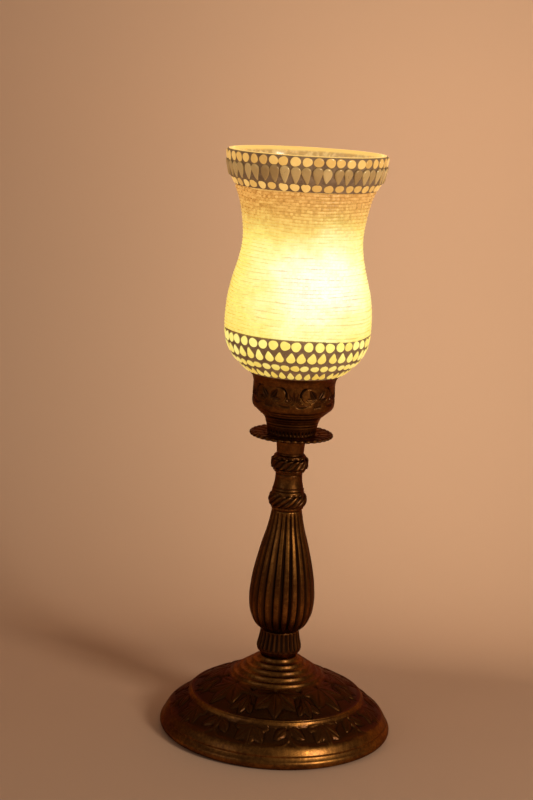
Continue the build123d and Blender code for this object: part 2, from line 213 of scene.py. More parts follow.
def brass_piece(name, outer, inner, turns, relief, node, least=0.8):
    """A turned piece of antique brass on the lamp, in place of one CAD node."""
    return turned_piece(name, outer, inner, turns, relief, "lamp", "antique_brass", [node], least)


# ---- The shade's meridian, measured on the CAD glass --------------------------------------------
def measure_glass():
    """Heights and outer radii of the shade's glass, from its CAD mesh."""
    mesh = frame["nodes"]["shade_glass"].data
    points = np.empty(len(mesh.vertices) * 3)
    normals = np.empty(len(mesh.vertices) * 3)
    mesh.vertices.foreach_get("co", points)
    mesh.vertex_normals.foreach_get("vector", normals)
    points = points.reshape(-1, 3) / MM
    normals = normals.reshape(-1, 3)
    radius = np.hypot(points[:, 0], points[:, 1])
    facing = (normals[:, 0] * points[:, 0] + normals[:, 1] * points[:, 1]) / radius
    outside = (facing > 0.3) & (points[:, 2] > 252.0)
    shelf, first = np.unique(np.round(points[outside, 2], 1), return_index=True)
    return shelf, radius[outside][first]


GLASS_Z, GLASS_R = measure_glass()


def on_glass(z, distance=0.0):
    """Radius and height of points off the glass's outer face, and the normal's two parts there.

    The radius is read between measured heights, and the normal comes from the slope over 3 mm.
    """
    z = np.asarray(z, float)
    r = np.interp(z, GLASS_Z, GLASS_R)
    lean = np.interp(z + 1.5, GLASS_Z, GLASS_R) - np.interp(z - 1.5, GLASS_Z, GLASS_R)
    size = np.hypot(lean, 3.0)
    out_r, out_z = 3.0 / size, -lean / size
    return r + distance * out_r, z + distance * out_z, out_r, out_z


# ---- Foot ------------------------------------------------------------------------------------
FOOT_LOWER = [(77.5, 9.3), (75.1, 13.2), (70.6, 17.6), (65.6, 21.4), (60.9, 24.6)]
FOOT_UPPER = [(58.9, 27.2), (52.0, 31.2), (44.0, 35.2), (37.6, 37.9), (32.6, 39.4)]
CROWN_STEPS = 5
STEP_RUN = 4.4
STEP_RISE = 2.95
STEP_R = 31.2


def crown_line():
    """The five rounded steps of the crown, from the outermost inwards."""
    top = LOW["stem_collar"]
    nose = [(0.1, -2.0), (-0.05, -0.9), (-0.5, -0.2), (-1.2, 0), (-2.2, -0.25)]
    steps = []
    for i in range(CROWN_STEPS):
        r = STEP_R - STEP_RUN * i
        z = top - STEP_RISE * (CROWN_STEPS - 1 - i)
        steps += [(r + across, z + up) for across, up in nose]
    return np.array(steps)


# Each lobe of a leaf fan: its lean in degrees and its length (mm).
LOBES = ((-80, 18.0), (-42, 21.5), (0, 22.0), (42, 21.5), (80, 18.0))
GROUND = 0.28  # height of the plain ground, as a share of the leaves' height


def over_ground(high, cover):
    """The higher of the motifs and the ground, which is sunk away just round each motif."""
    return np.maximum(high, GROUND * (1 - soft_step(cover, 0, 0.2)))


def foot_relief(angle, r, z):
    """Depth below the full foot: bold leaves on two tiers over a sunk, stippled ground.

    Each motif is a height from nothing to one in millimetres of arc and of radius within its sector,
    and the depth is the ground's depth times one less the highest motif.
    """
    lower = (r > 60.6) & (z > 9.6) & (z < 24.7)
    upper = (r > 33.0) & (r < 58.8) & (z > 27.0)
    # upper tier: five-lobed leaves, an arrow leaf between them and hatching beside the crown
    y = r - 33.0
    fan = [((0, 2.5), lean, length, 12.0) for lean, length in LOBES]
    high, cover = leaves(sector(angle, 7) * r, y, fan)
    between = sector(angle, 7, 0.5) * r
    arrow = [((0, 8.5), 0, 16.0, 8.0), ((-2.0, 14.0), -36, 10.5, 5.0), ((2.0, 14.0), 36, 10.5, 5.0)]
    high_between, cover_between = leaves(between, y, arrow)
    hatch = (0.5 + 0.5 * np.cos(between * 4.2)) * (np.abs(between) < 8.0) * (y > 3.0) * (y < 8.0)
    high = np.maximum(np.maximum(high, high_between), 0.7 * hatch)
    high_upper = over_ground(high, np.maximum(cover, cover_between))
    # lower tier: crescent petals in fans, curved stalks and punched patches
    y = 78.0 - r
    fan = [((0, 0.5), lean, length * 0.68, 9.0) for lean, length in LOBES]
    high, cover = leaves(sector(angle, 8, 0.3) * r, 17.0 - y, fan)
    between = sector(angle, 8, 0.8) * r
    pair = [((-1.5, 1.0), -50, 12.0, 6.6), ((1.5, 1.0), 50, 12.0, 6.6)]
    high_between, cover_between = leaves(between, 17.0 - y, pair)
    high = np.maximum(high, 0.8 * stem_line(between, y, (-9.0, 14.0), 10.0, 1.1, -95, 30))
    high = np.maximum(high, 0.8 * stem_line(between, y, (9.0, 14.0), 10.0, 1.1, -180, -70))
    dots = bump(np.hypot((between + 50) % 1.6 - 0.8, y % 1.6 - 0.8), 0.6)
    dots = dots * (np.abs(between) < 5.0) * (y > 4.0) * (y < 9.0)
    high = np.maximum(np.maximum(high, high_between), 0.7 * dots)
    high_lower = over_ground(high, np.maximum(cover, cover_between))
    edge_upper = soft_step(r, 33.0, 34.6) * soft_step(58.8 - r, 0, 0.9)
    edge_lower = soft_step(y, 3.0, 7.0) * soft_step(24.7 - z, 0, 0.9)
    depth = 1.5 * (1 - high_upper) * edge_upper * upper + 1.4 * (1 - high_lower) * edge_lower * lower
    stipple = 0.12 * (0.5 + 0.5 * np.sin(r * 4.1 + 1.7 * np.sin(angle * 60)) * np.sin(angle * 260))
    return depth + stipple * (edge_upper * upper + edge_lower * lower) * (depth > 0.3)


def make_foot():
    """The foot: its meridian turned about the axis, less the two tiers' relief, over a plain inside."""
    bead = arc((76.6, 3.9), 3.4, -88, 62, 12)
    groove = [(77.75, 7.9), (77.15, 8.5), (77.3, 9.0)]
    ridge = [(60.4, 24.95), (60.15, 25.9), (59.75, 26.45), (59.25, 26.6), (58.95, 26.9)]
    top = LOW["stem_collar"] - 0.2
    outer = np.concatenate([
        bead, groove, smooth_line(FOOT_LOWER, 30), ridge, smooth_line(FOOT_UPPER, 36), crown_line(),
        [(8.0, top), (BORE, top)],
    ])
    inner = np.array([
        (BORE, 50.5), (12.4, 50.5), (32.4, 38.2), (51.4, 29.4), (64.6, 20.0), (76.4, 9.0), (76.4, 0.8),
    ])
    brass_piece("embossed_foot", outer, inner, 780, foot_relief, "base_shell", 1.9)


# ---- Stem ------------------------------------------------------------------------------------
def stem_piece(name, outline, turns, relief, node):
    """A brass piece of the stem: its outline out from the bore, and the clearance hole back down."""
    low, high = LOW[node], HIGH[node]
    outer = np.concatenate([[(BORE, low)], outline])
    return brass_piece(name, outer, [(BORE, high), (BORE, low)], turns, relief, node)


def collar_relief(angle, r, z):
    """Twenty-six narrow flutes above a plain chamfer, deepest at mid height."""
    top, foot = HIGH["stem_collar"], LOW["stem_collar"]
    flute = 0.5 - 0.5 * np.cos(26 * angle)
    reach = soft_step(z, foot + 4.4, foot + 6.4) * soft_step(top - z, 0.3, 1.8)
    return 0.85 * flute**0.7 * reach + 0.35 * np.exp(-(((z - foot - 5.0) / 0.45) ** 2))


def vase_relief(angle, r, z):
    """Twenty-two broad reeds parted by sharp grooves that fade at the shoulder and the foot.

    The groove's depth follows the power of a cosine of the angle, so it's narrow beside the reed.
    """
    groove = np.abs(np.cos(11 * angle)) ** 9
    second = np.abs(np.cos(11 * angle + 0.55)) ** 24
    low, high = LOW["stem_vase"], HIGH["stem_vase"]
    reach = soft_step(z, low + 1.0, low + 5.0) * soft_step(high - z, 0.5, 4.0)
    return (1.25 * groove + 0.35 * second) * reach * np.clip(r / 16.0, 0.5, 1.1)


def rope_relief(turns_per_mm):
    """The relief of a rope ring whose strands lean by a share of a turn for each millimetre up."""
    def relief(angle, r, z):
        """Slanting strands: a rounded wave in the angle less a share of the height."""
        middle = z.mean()
        reach = soft_step(5.4 - np.abs(z - middle), 0.0, 1.4)
        wave = np.abs(np.sin(7 * (angle - turns_per_mm * (z - middle)))) ** 0.7
        return 1.15 * (1 - wave) * reach
    return relief


def ring_lines(*heights):
    """The relief of a plain turned piece with lines at the given heights."""
    def relief(angle, r, z):
        """Fine turned lines: narrow sunk rings at the given heights."""
        return sum(0.4 * np.exp(-(((z - h) / 0.35) ** 2)) for h in heights)
    return relief


def stem_outline(points, count, name):
    """Samples of an outline whose first and last heights come from the CAD piece."""
    points = np.array(points, float)
    points[0, 1], points[-1, 1] = LOW[name], HIGH[name]
    return smooth_line(points, count)


def make_stem():
    """Collar, vase, rope rings, spool and neck: each a turned outline less its own relief."""
    collar = np.concatenate([
        [(11.6, 53.6)], smooth_line([(11.7, 53.7), (15.4, 58.8), (15.5, 59.6), (15.3, 61.0)], 12),
        smooth_line([(15.25, 61.2), (14.3, 65.4), (13.6, 69.0), (13.2, 71.9)], 16), [(BORE, 72.0)],
    ])
    stem_piece("fluted_collar", collar, 520, collar_relief, "stem_collar")
    vase = [
        (13.1, 72.0), (17.4, 76.0), (20.8, 82.6), (22.5, 94.0), (21.7, 106.0), (17.1, 129.0),
        (11.8, 148.6), (10.2, 157.5),
    ]
    stem_piece("reeded_vase", stem_outline(vase, 90, "stem_vase"), 720, vase_relief, "stem_vase")
    for node, name, reach in (
        ("rope_ring_lower", "lower_rope_ring", 13.25), ("rope_ring_upper", "upper_rope_ring", 12.75),
    ):
        low, high = LOW[node], HIGH[node]
        middle = (low + high) / 2
        outline = smooth_line([
            (10.2, low), (11.1, low + 1.3), (11.2, low + 1.9), (12.7, middle - 3.0), (reach, middle),
            (12.7, middle + 3.0), (11.2, high - 1.9), (11.1, high - 1.3), (10.0, high),
        ], 44)
        stem_piece(name, outline, 360, rope_relief(0.085), node)
    spool = stem_outline([(10.9, 171.5), (9.8, 175.5), (9.2, 180.0), (9.4, 184.0)], 34, "stem_spool")
    stem_piece("turned_spool", spool, 160, ring_lines(173.2, 182.6), "stem_spool")
    neck = stem_outline([(9.2, 196.0), (9.5, 201.0), (10.5, 206.5), (12.3, 209.0)], 30, "stem_neck")
    stem_piece("flared_neck", neck, 160, ring_lines(197.0, 207.6), "stem_neck")


# ---- Drip pan, bell and cup ------------------------------------------------------------------
def pan_relief(angle, r, z):
    """Thirty-six beads on the rim, and shallow veins across the top that fork outwards."""
    rim = soft_step(r, 25.6, 27.4)
    scallop = 1 - np.abs(np.sin(18 * angle)) ** 0.6
    veins = np.exp(-((sector(angle, 18) * r / 0.5) ** 2))
    veins = veins + 0.7 * np.exp(-((sector(angle, 36, 0.5) * r / 0.4) ** 2))
    ring = np.exp(-(((r - 25.2) / 0.5) ** 2)) + np.exp(-(((r - 19.0) / 0.4) ** 2))
    top = (z > LOW["drip_pan"] + 1.4) * soft_step(r, 16.5, 18.0)
    return 1.1 * scallop * rim + 0.4 * (veins * (1 - rim) + ring) * top


def bell_relief(angle, r, z):
    """A row of small beads at the foot and three fine lines under the cup."""
    beads = (1 - np.abs(np.sin(20 * angle)) ** 0.6) * np.exp(-(((z - 212.6) / 1.1) ** 2))
    lines = sum(np.exp(-(((z - h) / 0.3) ** 2)) for h in (217.4, 219.4, 222.8))
    return 0.8 * beads + 0.35 * lines


def cup_relief(angle, r, z):
    """Palmettes between curved vines, broad leaves and comb patches, cut into a plain wall.

    The leaves are outlined: each is a shallow dish inside a deeper groove along its edge.
    """
    wall = soft_step(z, 231.0, 232.4) * soft_step(246.6 - z, 0, 1.0) * (r > 27.0)
    x = sector(angle, 5) * r
    y = z - 232.0
    cut = 0 * x
    for lean, length in ((-72, 6.6), (-48, 7.6), (-24, 8.6), (0, 9.4), (24, 8.6), (48, 7.6), (72, 6.6)):
        cut = np.maximum(cut, leaf(x, y, (0, 3.2), lean, length, 2.0))
    for side in (-1, 1):
        cut = np.maximum(cut, leaf(x, y, (side * 2.0, 1.6), side * 84, 8.5, 2.6))
        vine = np.hypot(x - side * 10.5, y - 9.0) - 5.6
        cut = np.maximum(cut, bump(vine, 0.8) * (x * side < 12.0))
    between = sector(angle, 5, 0.5) * r
    comb = (0.5 + 0.5 * np.cos(between * 5.2)) * (np.abs(between) < 3.2)
    cut = np.maximum(cut, comb * (y > 0.6) * (y < 4.6))
    for side in (-1, 1):
        cut = np.maximum(cut, leaf(between, y, (side * 1.2, 6.4), side * 38, 8.4, 4.6))
        cut = np.maximum(cut, leaf(between, y, (side * 2.8, 5.4), side * 78, 6.4, 3.2))
    return 0.9 * cut * wall


def make_cup():
    """Drip pan, bell and cup: each a turned outline less its own relief."""
    low, high = LOW["drip_pan"], HIGH["drip_pan"]
    edge = arc((27.4, 210.1), 1.06, -80, 80, 9)
    pan = np.concatenate([
        [(BORE, 209.0), (14.0, 209.0), (22.0, low + 0.05)], smooth_line([(22.4, low), (26.4, 208.9)], 10),
        edge, smooth_line([(26.6, high - 0.05), (20.0, high - 0.6), (14.0, high - 0.62)], 40),
        [(BORE, high - 0.62)],
    ])
    pan_bore = [(BORE, 210.4), (BORE, 209.2)]
    brass_piece("drip_pan_beaded", pan, pan_bore, 576, pan_relief, "drip_pan")
    bell = smooth_line([(16.5, 210.6), (16.9, 214.5), (17.7, 217.6), (19.2, 221.9), (21.5, 224.5)], 46)
    bell = np.concatenate([[(BORE, 210.6)], bell])
    bell_bore = [(BORE, HIGH["cup_neck"]), (BORE, LOW["cup_neck"])]
    brass_piece("bell_neck", bell, bell_bore, 400, bell_relief, "cup_neck")
    steps = [
        (22.0, 224.6), (22.4, 225.8), (23.9, 226.3), (24.3, 227.6), (25.9, 228.1), (27.3, 229.8),
        (27.85, 232.6),
    ]
    outer = np.concatenate([
        [(BORE, 224.5), (21.8, 224.5)], smooth_line(steps, 26),
        smooth_line([(27.87, 233.0), (27.6, 245.6)], 44),
        smooth_line([(27.6, 245.8), (28.5, 249.2), (30.9, 252.5)], 16), [(30.9, 252.75), (30.2, 252.88)],
    ])
    inside = [(29.9, 252.6), (27.5, 249.9), (26.5, 245.6), (26.6, 232.0), (24.6, 229.4), (21.6, 226.2)]
    inner = np.concatenate([smooth_line(inside, 30), [(BORE, 226.2)]])
    brass_piece("embossed_cup", outer, inner, 620, cup_relief, "gallery_cup")


# ---- Mosaic ----------------------------------------------------------------------------------
def tile_outline(shape, width, length, count):
    """Outline points of a tile about its middle; a drop's angle-wise radius narrows to its tip."""
    angle = np.arange(count) / count * TURN
    if shape == "round":
        return np.stack([width / 2 * np.sin(angle), length / 2 * np.cos(angle)], -1)
    tip = np.clip(np.cos(angle), 0, 1) ** 1.5
    across = width / 2 * np.sin(angle) * (1 - 0.45 * tip)
    towards_tip = (length - width / 2) * np.abs(np.cos(angle)) ** 1.25
    along = np.where(np.cos(angle) > 0, towards_tip, width / 2 * np.cos(angle))
    along -= (length - width) / 2
    flip = 1.0 if shape == "drop_up" else -1.0
    return np.stack([across * flip, along * flip], -1)


# Each ring of a tile, from the middle out: its share of the outline and its share of the thickness.
TILE_RINGS = [(0.6, 1.0), (0.86, 0.96), (0.96, 0.82), (1.0, 0.6), (1.0, 0.0)]
TILE_SIDES = 22
TILE_TILT = 2.0     # degrees, one standard deviation
TILE_SPREAD = 0.06  # greatest loss of size


def tile_rows(name, row, slot, stands_for, seed):
    """A row of glass tiles round the shade: each is a low dome over its outline, with a rolled edge.

    A vertex is the outline point times its ring's share, raised to the ring's share of the height,
    turned a little, tilted a little and carried to the glass along the normal there.
    """
    count, z, shape, width, length, thick, shifted = row
    chance = np.random.default_rng(seed)
    around = TILE_SIDES
    outline = tile_outline(shape, width, length, around)
    share = np.array([r[0] for r in TILE_RINGS])
    lift = np.array([r[1] for r in TILE_RINGS]) * thick
    flat = (outline[None] * share[:, None, None]).reshape(-1, 2)
    rings = np.column_stack([flat, np.repeat(lift, around)])
    local = np.concatenate([[[0, 0, thick * 1.02]], rings, [[0, 0, 0]]])
    size = 1 + chance.uniform(-TILE_SPREAD, TILE_SPREAD * 0.4, (count, 1))
    spin = np.radians(chance.normal(0, 5, count))
    turn = np.arctan2(local[:, 0], local[:, 1])
    nibble = 1 + 0.05 * np.sin(2 * turn + chance.uniform(0, TURN, (count, 1)))
    third = chance.uniform(0, 0.07, (count, 1))
    nibble = nibble - third * np.cos(3 * turn + chance.uniform(0, TURN, (count, 1)))
    size = size * np.minimum(nibble, 1.06)
    x = (local[:, 0] * np.cos(spin)[:, None] + local[:, 1] * np.sin(spin)[:, None]) * size
    y = (local[:, 1] * np.cos(spin)[:, None] - local[:, 0] * np.sin(spin)[:, None]) * size
    lean = np.radians(chance.normal(0, TILE_TILT, (2, count)))[:, :, None]
    out = local[:, 2] + np.tan(lean[0]) * x * 0.5 + np.tan(lean[1]) * y * 0.5
    r0, z0, out_r, out_z = on_glass(z, 0.0)
    theta = (np.arange(count) + (0.5 if shifted else 0) + chance.normal(0, 0.035, count)) / count * TURN
    y = y + chance.normal(0, 0.12, (count, 1))
    radial = r0 + out * out_r - y * out_z
    height = z0 + out * out_z + y * out_r
    sin, cos = np.sin(theta)[:, None], np.cos(theta)[:, None]
    verts = np.stack([radial * sin + x * cos, -radial * cos + x * sin, height], -1).reshape(-1, 3)
    per = len(local)
    ring = grid_faces(len(TILE_RINGS), around, False) + 1
    cap = [[0, 1 + (i + 1) % around, 1 + i] for i in range(around)]
    last = 1 + (len(TILE_RINGS) - 1) * around
    base = [[per - 1, last + i, last + (i + 1) % around] for i in range(around)]
    faces = []
    for i in range(count):
        faces += (ring + i * per).tolist()
        faces += [[v + i * per for v in face] for face in cap + base]
    tone = np.repeat(chance.uniform(0, 1, count), per)
    # Painted shade mask: one over the tile's face, falling to nothing down its sides.
    edge = np.tile(np.concatenate([[1.0], np.repeat([1, 0.9, 0.55, 0.2, 0.0], around), [0.0]]), count)
    return add_piece(name, verts, faces, "shade", slot, stands_for, relief=edge, tone=tone)


# Each row's count, height, shape, width, length and thickness (mm), and whether it's half a step round.
ROWS = {
    "rim_round_tiles": ((45, 396.2, "round", 6.7, 6.5, 2.0, False), "amber_tiles"),
    "mirror_drop_tiles": ((47, 388.0, "drop_down", 6.9, 11.4, 2.75, False), "mirror_tiles"),
    "shoulder_round_tiles": ((41, 380.4, "round", 6.3, 6.2, 2.0, False), "amber_tiles"),
    "belly_round_tiles": ((40, 277.6, "round", 6.7, 6.5, 2.0, False), "cream_tiles"),
    "belly_drop_tiles": ((40, 270.3, "drop_up", 6.2, 8.3, 2.0, True), "cream_tiles"),
    "bowl_round_tiles": ((40, 263.1, "round", 6.0, 5.4, 2.0, False), "cream_tiles"),
    "bowl_drop_tiles": ((40, 257.0, "drop_up", 4.9, 7.4, 1.9, True), "cream_tiles"),
}


def grout_bed(name, low, high, swell_z, swell, stands_for):
    """A lumpy bed of grout on the glass, with a swelling under the mirror drops' tips."""
    z = np.linspace(low, high, 34)
    thick = 1.5 + swell * np.exp(-(((z - swell_z) / 2.5) ** 2))
    thick[[0, -1]] = 0.5
    r, height, _, _ = on_glass(z, thick)
    outer = np.stack([r, height], -1)
    r, height, _, _ = on_glass(z[::-1], 0.05)
    inner = np.stack([r, height], -1)

    def lumps(angle, r, z):
        """Unevenness: products of sines of the angle and the height."""
        return 0.14 * (1 + np.sin(41 * angle + 2 * np.sin(z)) * np.sin(1.9 * z + 3 * np.sin(23 * angle)))

    turned_piece(name, outer, inner, 420, lumps, "shade", "grout", stands_for)


def make_mosaic():
    """The seven rows of tiles and the two beds of grout between them and the glass."""
    for seed, (name, (row, slot)) in enumerate(ROWS.items()):
        tile_rows(name + "_cut", row, slot, [name], 11 + seed)
    grout_bed("upper_grout", 376.6, 399.6, 384.4, 1.0, ["grout_upper"])
    grout_bed("lower_grout", 252.6, 281.3, 281.0, 0.0, ["grout_lower"])


# ---- Bead strings ----------------------------------------------------------------------------
BEAD_R = 1.0
BEAD_STEP = 1.75    # along the string (mm)
STRING_PITCH = 2.15  # one string to the next (mm)


def bead_string(z, seed, messy):
    """One turn of threaded beads: a ring whose thickness pulses once a bead.

    Around the ring, the section's radius is a rounded pulse of each bead, its middle drifts up and
    down in slow waves, and beads differ a little in size, place and tone.
    """
    chance = np.random.default_rng(seed)
    r0, z0, _, _ = on_glass(z, BEAD_R + 0.1)
    beads = int(round(TURN * float(r0) / BEAD_STEP))
    per, sides = 4, 8
    u = np.arange(beads * per) / per
    phase = u % 1.0
    index = np.floor(u).astype(int)
    pulse = 0.76 + 0.24 * np.sin(math.pi * np.clip(phase + 0.125, 0, 1)) ** 0.7
    size = (1 + chance.normal(0, 0.06, beads))[index]
    theta = u / beads * TURN
    loose = 0.07 + messy * np.clip(-np.sin(theta + 0.5), 0, 1)
    wave = np.sin(3 * theta + chance.uniform(0, 6)) + 0.6 * np.sin(7 * theta + chance.uniform(0, 6))
    slow = np.sin(2 * theta + 0.10 * z) + 0.7 * np.sin(5 * theta - 0.13 * z)
    drift = 0.16 * wave + 0.42 * slow + chance.normal(0, 1, beads)[index] * loose
    v = np.arange(sides) / sides * TURN
    section = np.minimum(BEAD_R * pulse * size, BEAD_R)[:, None]
    r = r0 + section * np.cos(v)
    height = z0 + drift[:, None] + section * np.sin(v) * 1.12
    verts = np.stack([r * np.sin(theta)[:, None], -r * np.cos(theta)[:, None], height], -1).reshape(-1, 3)
    tone = np.repeat(chance.uniform(0, 1, beads)[index], sides)
    # Painted shade mask: only the outward half of each string counts, weaker between beads, so the rest takes
    # the darker gap colour.
    proud = np.tile(np.clip(np.cos(v), 0, 1), beads * per)
    groove = proud * np.repeat(0.75 + (pulse - 0.76), sides)
    return verts, grid_faces(beads * per, sides), tone, groove


def make_beads():
    """Rings of beads up the glass at one pitch, in three pieces, looser towards the shoulder."""
    low, high = LOW["bead_strings"] + BEAD_R, HIGH["bead_strings"] - BEAD_R
    count = int(round((high - low) / STRING_PITCH)) + 1
    heights = np.linspace(low + 0.1, high + 0.4, count)
    for part, chunk in enumerate(np.array_split(np.arange(count), 3)):
        verts, faces, tones, grooves, start = [], [], [], [], 0
        for i in chunk:
            messy = 0.30 * float(soft_step(heights[i], 345, 368))
            points, quads, tone, groove = bead_string(heights[i], 300 + int(i), messy)
            verts.append(points)
            faces.append(quads + start)
            tones.append(tone)
            grooves.append(groove)
            start += len(points)
        label = ("belly", "waist", "shoulder")[part] + "_bead_strings"
        add_piece(
            label, np.concatenate(verts), np.concatenate(faces), "shade", "glass_beads",
            ["bead_strings"] if part == 0 else (), relief=np.concatenate(grooves), tone=np.concatenate(tones),
        )


# ---- Bulb ------------------------------------------------------------------------------------
THREAD_PITCH = 2.82  # of the E14 cap (mm)


def make_bulb():
    """The screw cap, with its thread and its flared skirt."""
    box_low, box_high = LOW["bulb_cap"], HIGH["bulb_cap"]
    outer = np.concatenate([
        smooth_line([(5.5, box_low), (6.3, box_low + 1.2), (6.86, box_low + 2.6)], 6),
        smooth_line([(6.88, box_low + 2.8), (6.88, 271.2)], 60),
        smooth_line([(6.9, 271.6), (7.6, 272.7), (8.15, 273.4), (8.18, box_high)], 10),
    ])
    inner = np.array([(7.75, box_high), (7.75, 274.0), (6.3, 272.2), (6.3, 258.6), (5.45, 257.4)])

    def thread(angle, r, z):
        """The thread's wave along the height, climbing one pitch each turn."""
        wave = 0.5 + 0.5 * np.cos(TURN * z / THREAD_PITCH + angle)
        return 0.42 * wave * soft_step(z, 258.4, 259.4) * soft_step(271.0 - z, 0, 0.8)

    turned_piece("threaded_cap", outer, inner, 96, thread, "bulb", "nickel", ["bulb_cap"])


# ---- Materials -------------------------------------------------------------------------------
def add_node(tree, kind, inputs=None, **settings):
    """A shader node with its settings, its values and its links in one call."""
    node = tree.nodes.new(kind)
    for key, value in settings.items():
        setattr(node, key, value)
    for key, value in (inputs or {}).items():
        if isinstance(value, bpy.types.NodeSocket):
            tree.links.new(value, node.inputs[key])
        else:
            node.inputs[key].default_value = value
    return node


def colour_ramp(tree, fac, stops):
    """A colour ramp from its stops, each a place and a colour."""
    ramp = add_node(tree, "ShaderNodeValToRGB", {"Fac": fac})
    while len(ramp.color_ramp.elements) < len(stops):
        ramp.color_ramp.elements.new(0.5)
    for element, (place, colour) in zip(ramp.color_ramp.elements, stops):
        element.position = place
        element.color = (*colour, 1)
    return ramp.outputs["Color"]


def map_range(tree, value, low, high, to_low=0.0, to_high=1.0):
    """A smooth step of a value from one range to another."""
    inputs = {"Value": value, "From Min": low, "From Max": high, "To Min": to_low, "To Max": to_high}
    return add_node(tree, "ShaderNodeMapRange", inputs, interpolation_type="SMOOTHSTEP").outputs[0]


def maths(tree, kind, a, b=0.0):
    """A Math node of two values."""
    return add_node(tree, "ShaderNodeMath", {0: a, 1: b}, operation=kind).outputs[0]


def mix(tree, fac, a, b, blend="MIX"):
    """A colour mix of two colours, each a socket or three numbers."""
    node = add_node(tree, "ShaderNodeMix", data_type="RGBA", blend_type=blend)
    for place, value in ((0, fac), (6, a), (7, b)):
        if isinstance(value, bpy.types.NodeSocket):
            tree.links.new(value, node.inputs[place])
        else:
            node.inputs[place].default_value = value if place == 0 else (*value, 1)
    return node.outputs[2]


def attribute(tree, name):
    """A named attribute of the mesh, as a value."""
    return add_node(tree, "ShaderNodeAttribute", attribute_name=name).outputs["Fac"]


def object_place(tree):
    """The place on the object, in metres in the lamp's frame."""
    return add_node(tree, "ShaderNodeTexCoord").outputs["Object"]


def object_height(tree):
    """The height on the object, in metres."""
    return add_node(tree, "ShaderNodeSeparateXYZ", {0: object_place(tree)}).outputs["Z"]


def noise(tree, place, scale, detail=4.0, rough=0.55):
    """Cloudy noise from nothing to one."""
    inputs = {"Vector": place, "Scale": scale, "Detail": detail, "Roughness": rough}
    return add_node(tree, "ShaderNodeTexNoise", inputs).outputs["Fac"]


def group(name, inputs, outputs, build):
    """A node group made once, with named sockets as (name, kind, default)."""
    if name in bpy.data.node_groups:
        return bpy.data.node_groups[name]
    tree = bpy.data.node_groups.new(name, "ShaderNodeTree")
    for label, kind, default in inputs:
        socket = tree.interface.new_socket(label, in_out="INPUT", socket_type=kind)
        if default is not None:
            socket.default_value = default
    for label, kind in outputs:
        tree.interface.new_socket(label, in_out="OUTPUT", socket_type=kind)
    entry = tree.nodes.new("NodeGroupInput")
    leave = tree.nodes.new("NodeGroupOutput")
    for label, socket in build(tree, entry.outputs).items():
        tree.links.new(socket, leave.inputs[label])
    return tree


def use_group(tree, shared, inputs):
    """A node for a shared group, and the group's outputs."""
    node = tree.nodes.new("ShaderNodeGroup")
    node.node_tree = shared
    for key, value in inputs.items():
        if isinstance(value, bpy.types.NodeSocket):
            tree.links.new(value, node.inputs[key])
        else:
            node.inputs[key].default_value = value
    return node.outputs


FLOAT, COLOUR = "NodeSocketFloat", "NodeSocketColor"


def rubbed_group():
    """Wear mask: high where the relief stands proud, broken up by two sizes of noise."""
    def build(tree, given):
        place = object_place(tree)
        broad = noise(tree, place, 38.0, 5.0)
        fine = noise(tree, place, 420.0, 6.0, 0.7)
        broken = maths(tree, "ADD", maths(tree, "MULTIPLY", broad, 0.55), maths(tree, "MULTIPLY", fine, 0.45))
        level = maths(tree, "ADD", given["Relief"], maths(tree, "SUBTRACT", broken, 0.5))
        worn = map_range(tree, level, 0.86, 1.46)
        deep = map_range(tree, level, 0.02, 0.70)
        return {"Worn": worn, "Raised": deep, "Grain": fine, "Blotch": broad}
    return group(
        "Rubbed Relief", [("Relief", FLOAT, 1.0)],
        [("Worn", FLOAT), ("Raised", FLOAT), ("Grain", FLOAT), ("Blotch", FLOAT)], build,
    )


def glow_group():
    """Painted light through the shade: white at a painted hot spot by the bulb, through yellow, to
    amber and tan.

    The colour follows the distance to the hot spot on the bulb's near side, and fades to tan above
    the waist; Hot Spot gives the painted hot spot's strength.
    """
    def build(tree, given):
        place = object_place(tree)
        hot = add_node(tree, "ShaderNodeCombineXYZ", {0: 0.006, 1: -0.022, 2: 0.312}).outputs[0]
        away = add_node(tree, "ShaderNodeVectorMath", {0: place, 1: hot}, operation="DISTANCE")
        height = object_height(tree)
        cloud = maths(tree, "MULTIPLY", maths(tree, "SUBTRACT", noise(tree, place, 30.0, 4.0), 0.5), 0.030)
        far = maths(tree, "ADD", away.outputs["Value"], cloud)
        warm = colour_ramp(tree, map_range(tree, far, 0.016, 0.105), [
            (0.0, (1.0, 1.0, 0.88)), (0.12, (1.0, 0.98, 0.44)), (0.26, (0.98, 0.86, 0.21)),
            (0.45, (0.94, 0.72, 0.15)), (1.0, (0.74, 0.42, 0.11)),
        ])
        top = maths(tree, "ADD", height, maths(tree, "MULTIPLY", cloud, 0.8))
        light = mix(tree, map_range(tree, top, 0.334, 0.378), warm, (0.84, 0.41, 0.09))
        return {"Light": light, "Hot Spot": map_range(tree, far, 0.060, 0.020)}
    return group("Lamp Glow", [], [("Light", COLOUR), ("Hot Spot", FLOAT)], build)


def winding_group():
    """Strength of the shadow lines between strings: noise drawn out along each turn.

    The place is unrolled to the angle round the axis and the height, and the angle is squeezed.
    """
    def build(tree, given):
        parts = add_node(tree, "ShaderNodeSeparateXYZ", {0: object_place(tree)}).outputs
        angle = maths(tree, "ARCTAN2", parts["X"], maths(tree, "MULTIPLY", parts["Y"], -1.0))
        squeezed = maths(tree, "MULTIPLY", angle, 0.014)
        flat = add_node(tree, "ShaderNodeCombineXYZ", {0: squeezed, 1: parts["Z"]})
        streak = noise(tree, flat.outputs[0], 420.0, 2.0, 0.5)
        return {"Streak": map_range(tree, streak, 0.36, 0.62)}
    return group("Winding Shadow", [], [("Streak", FLOAT)], build)


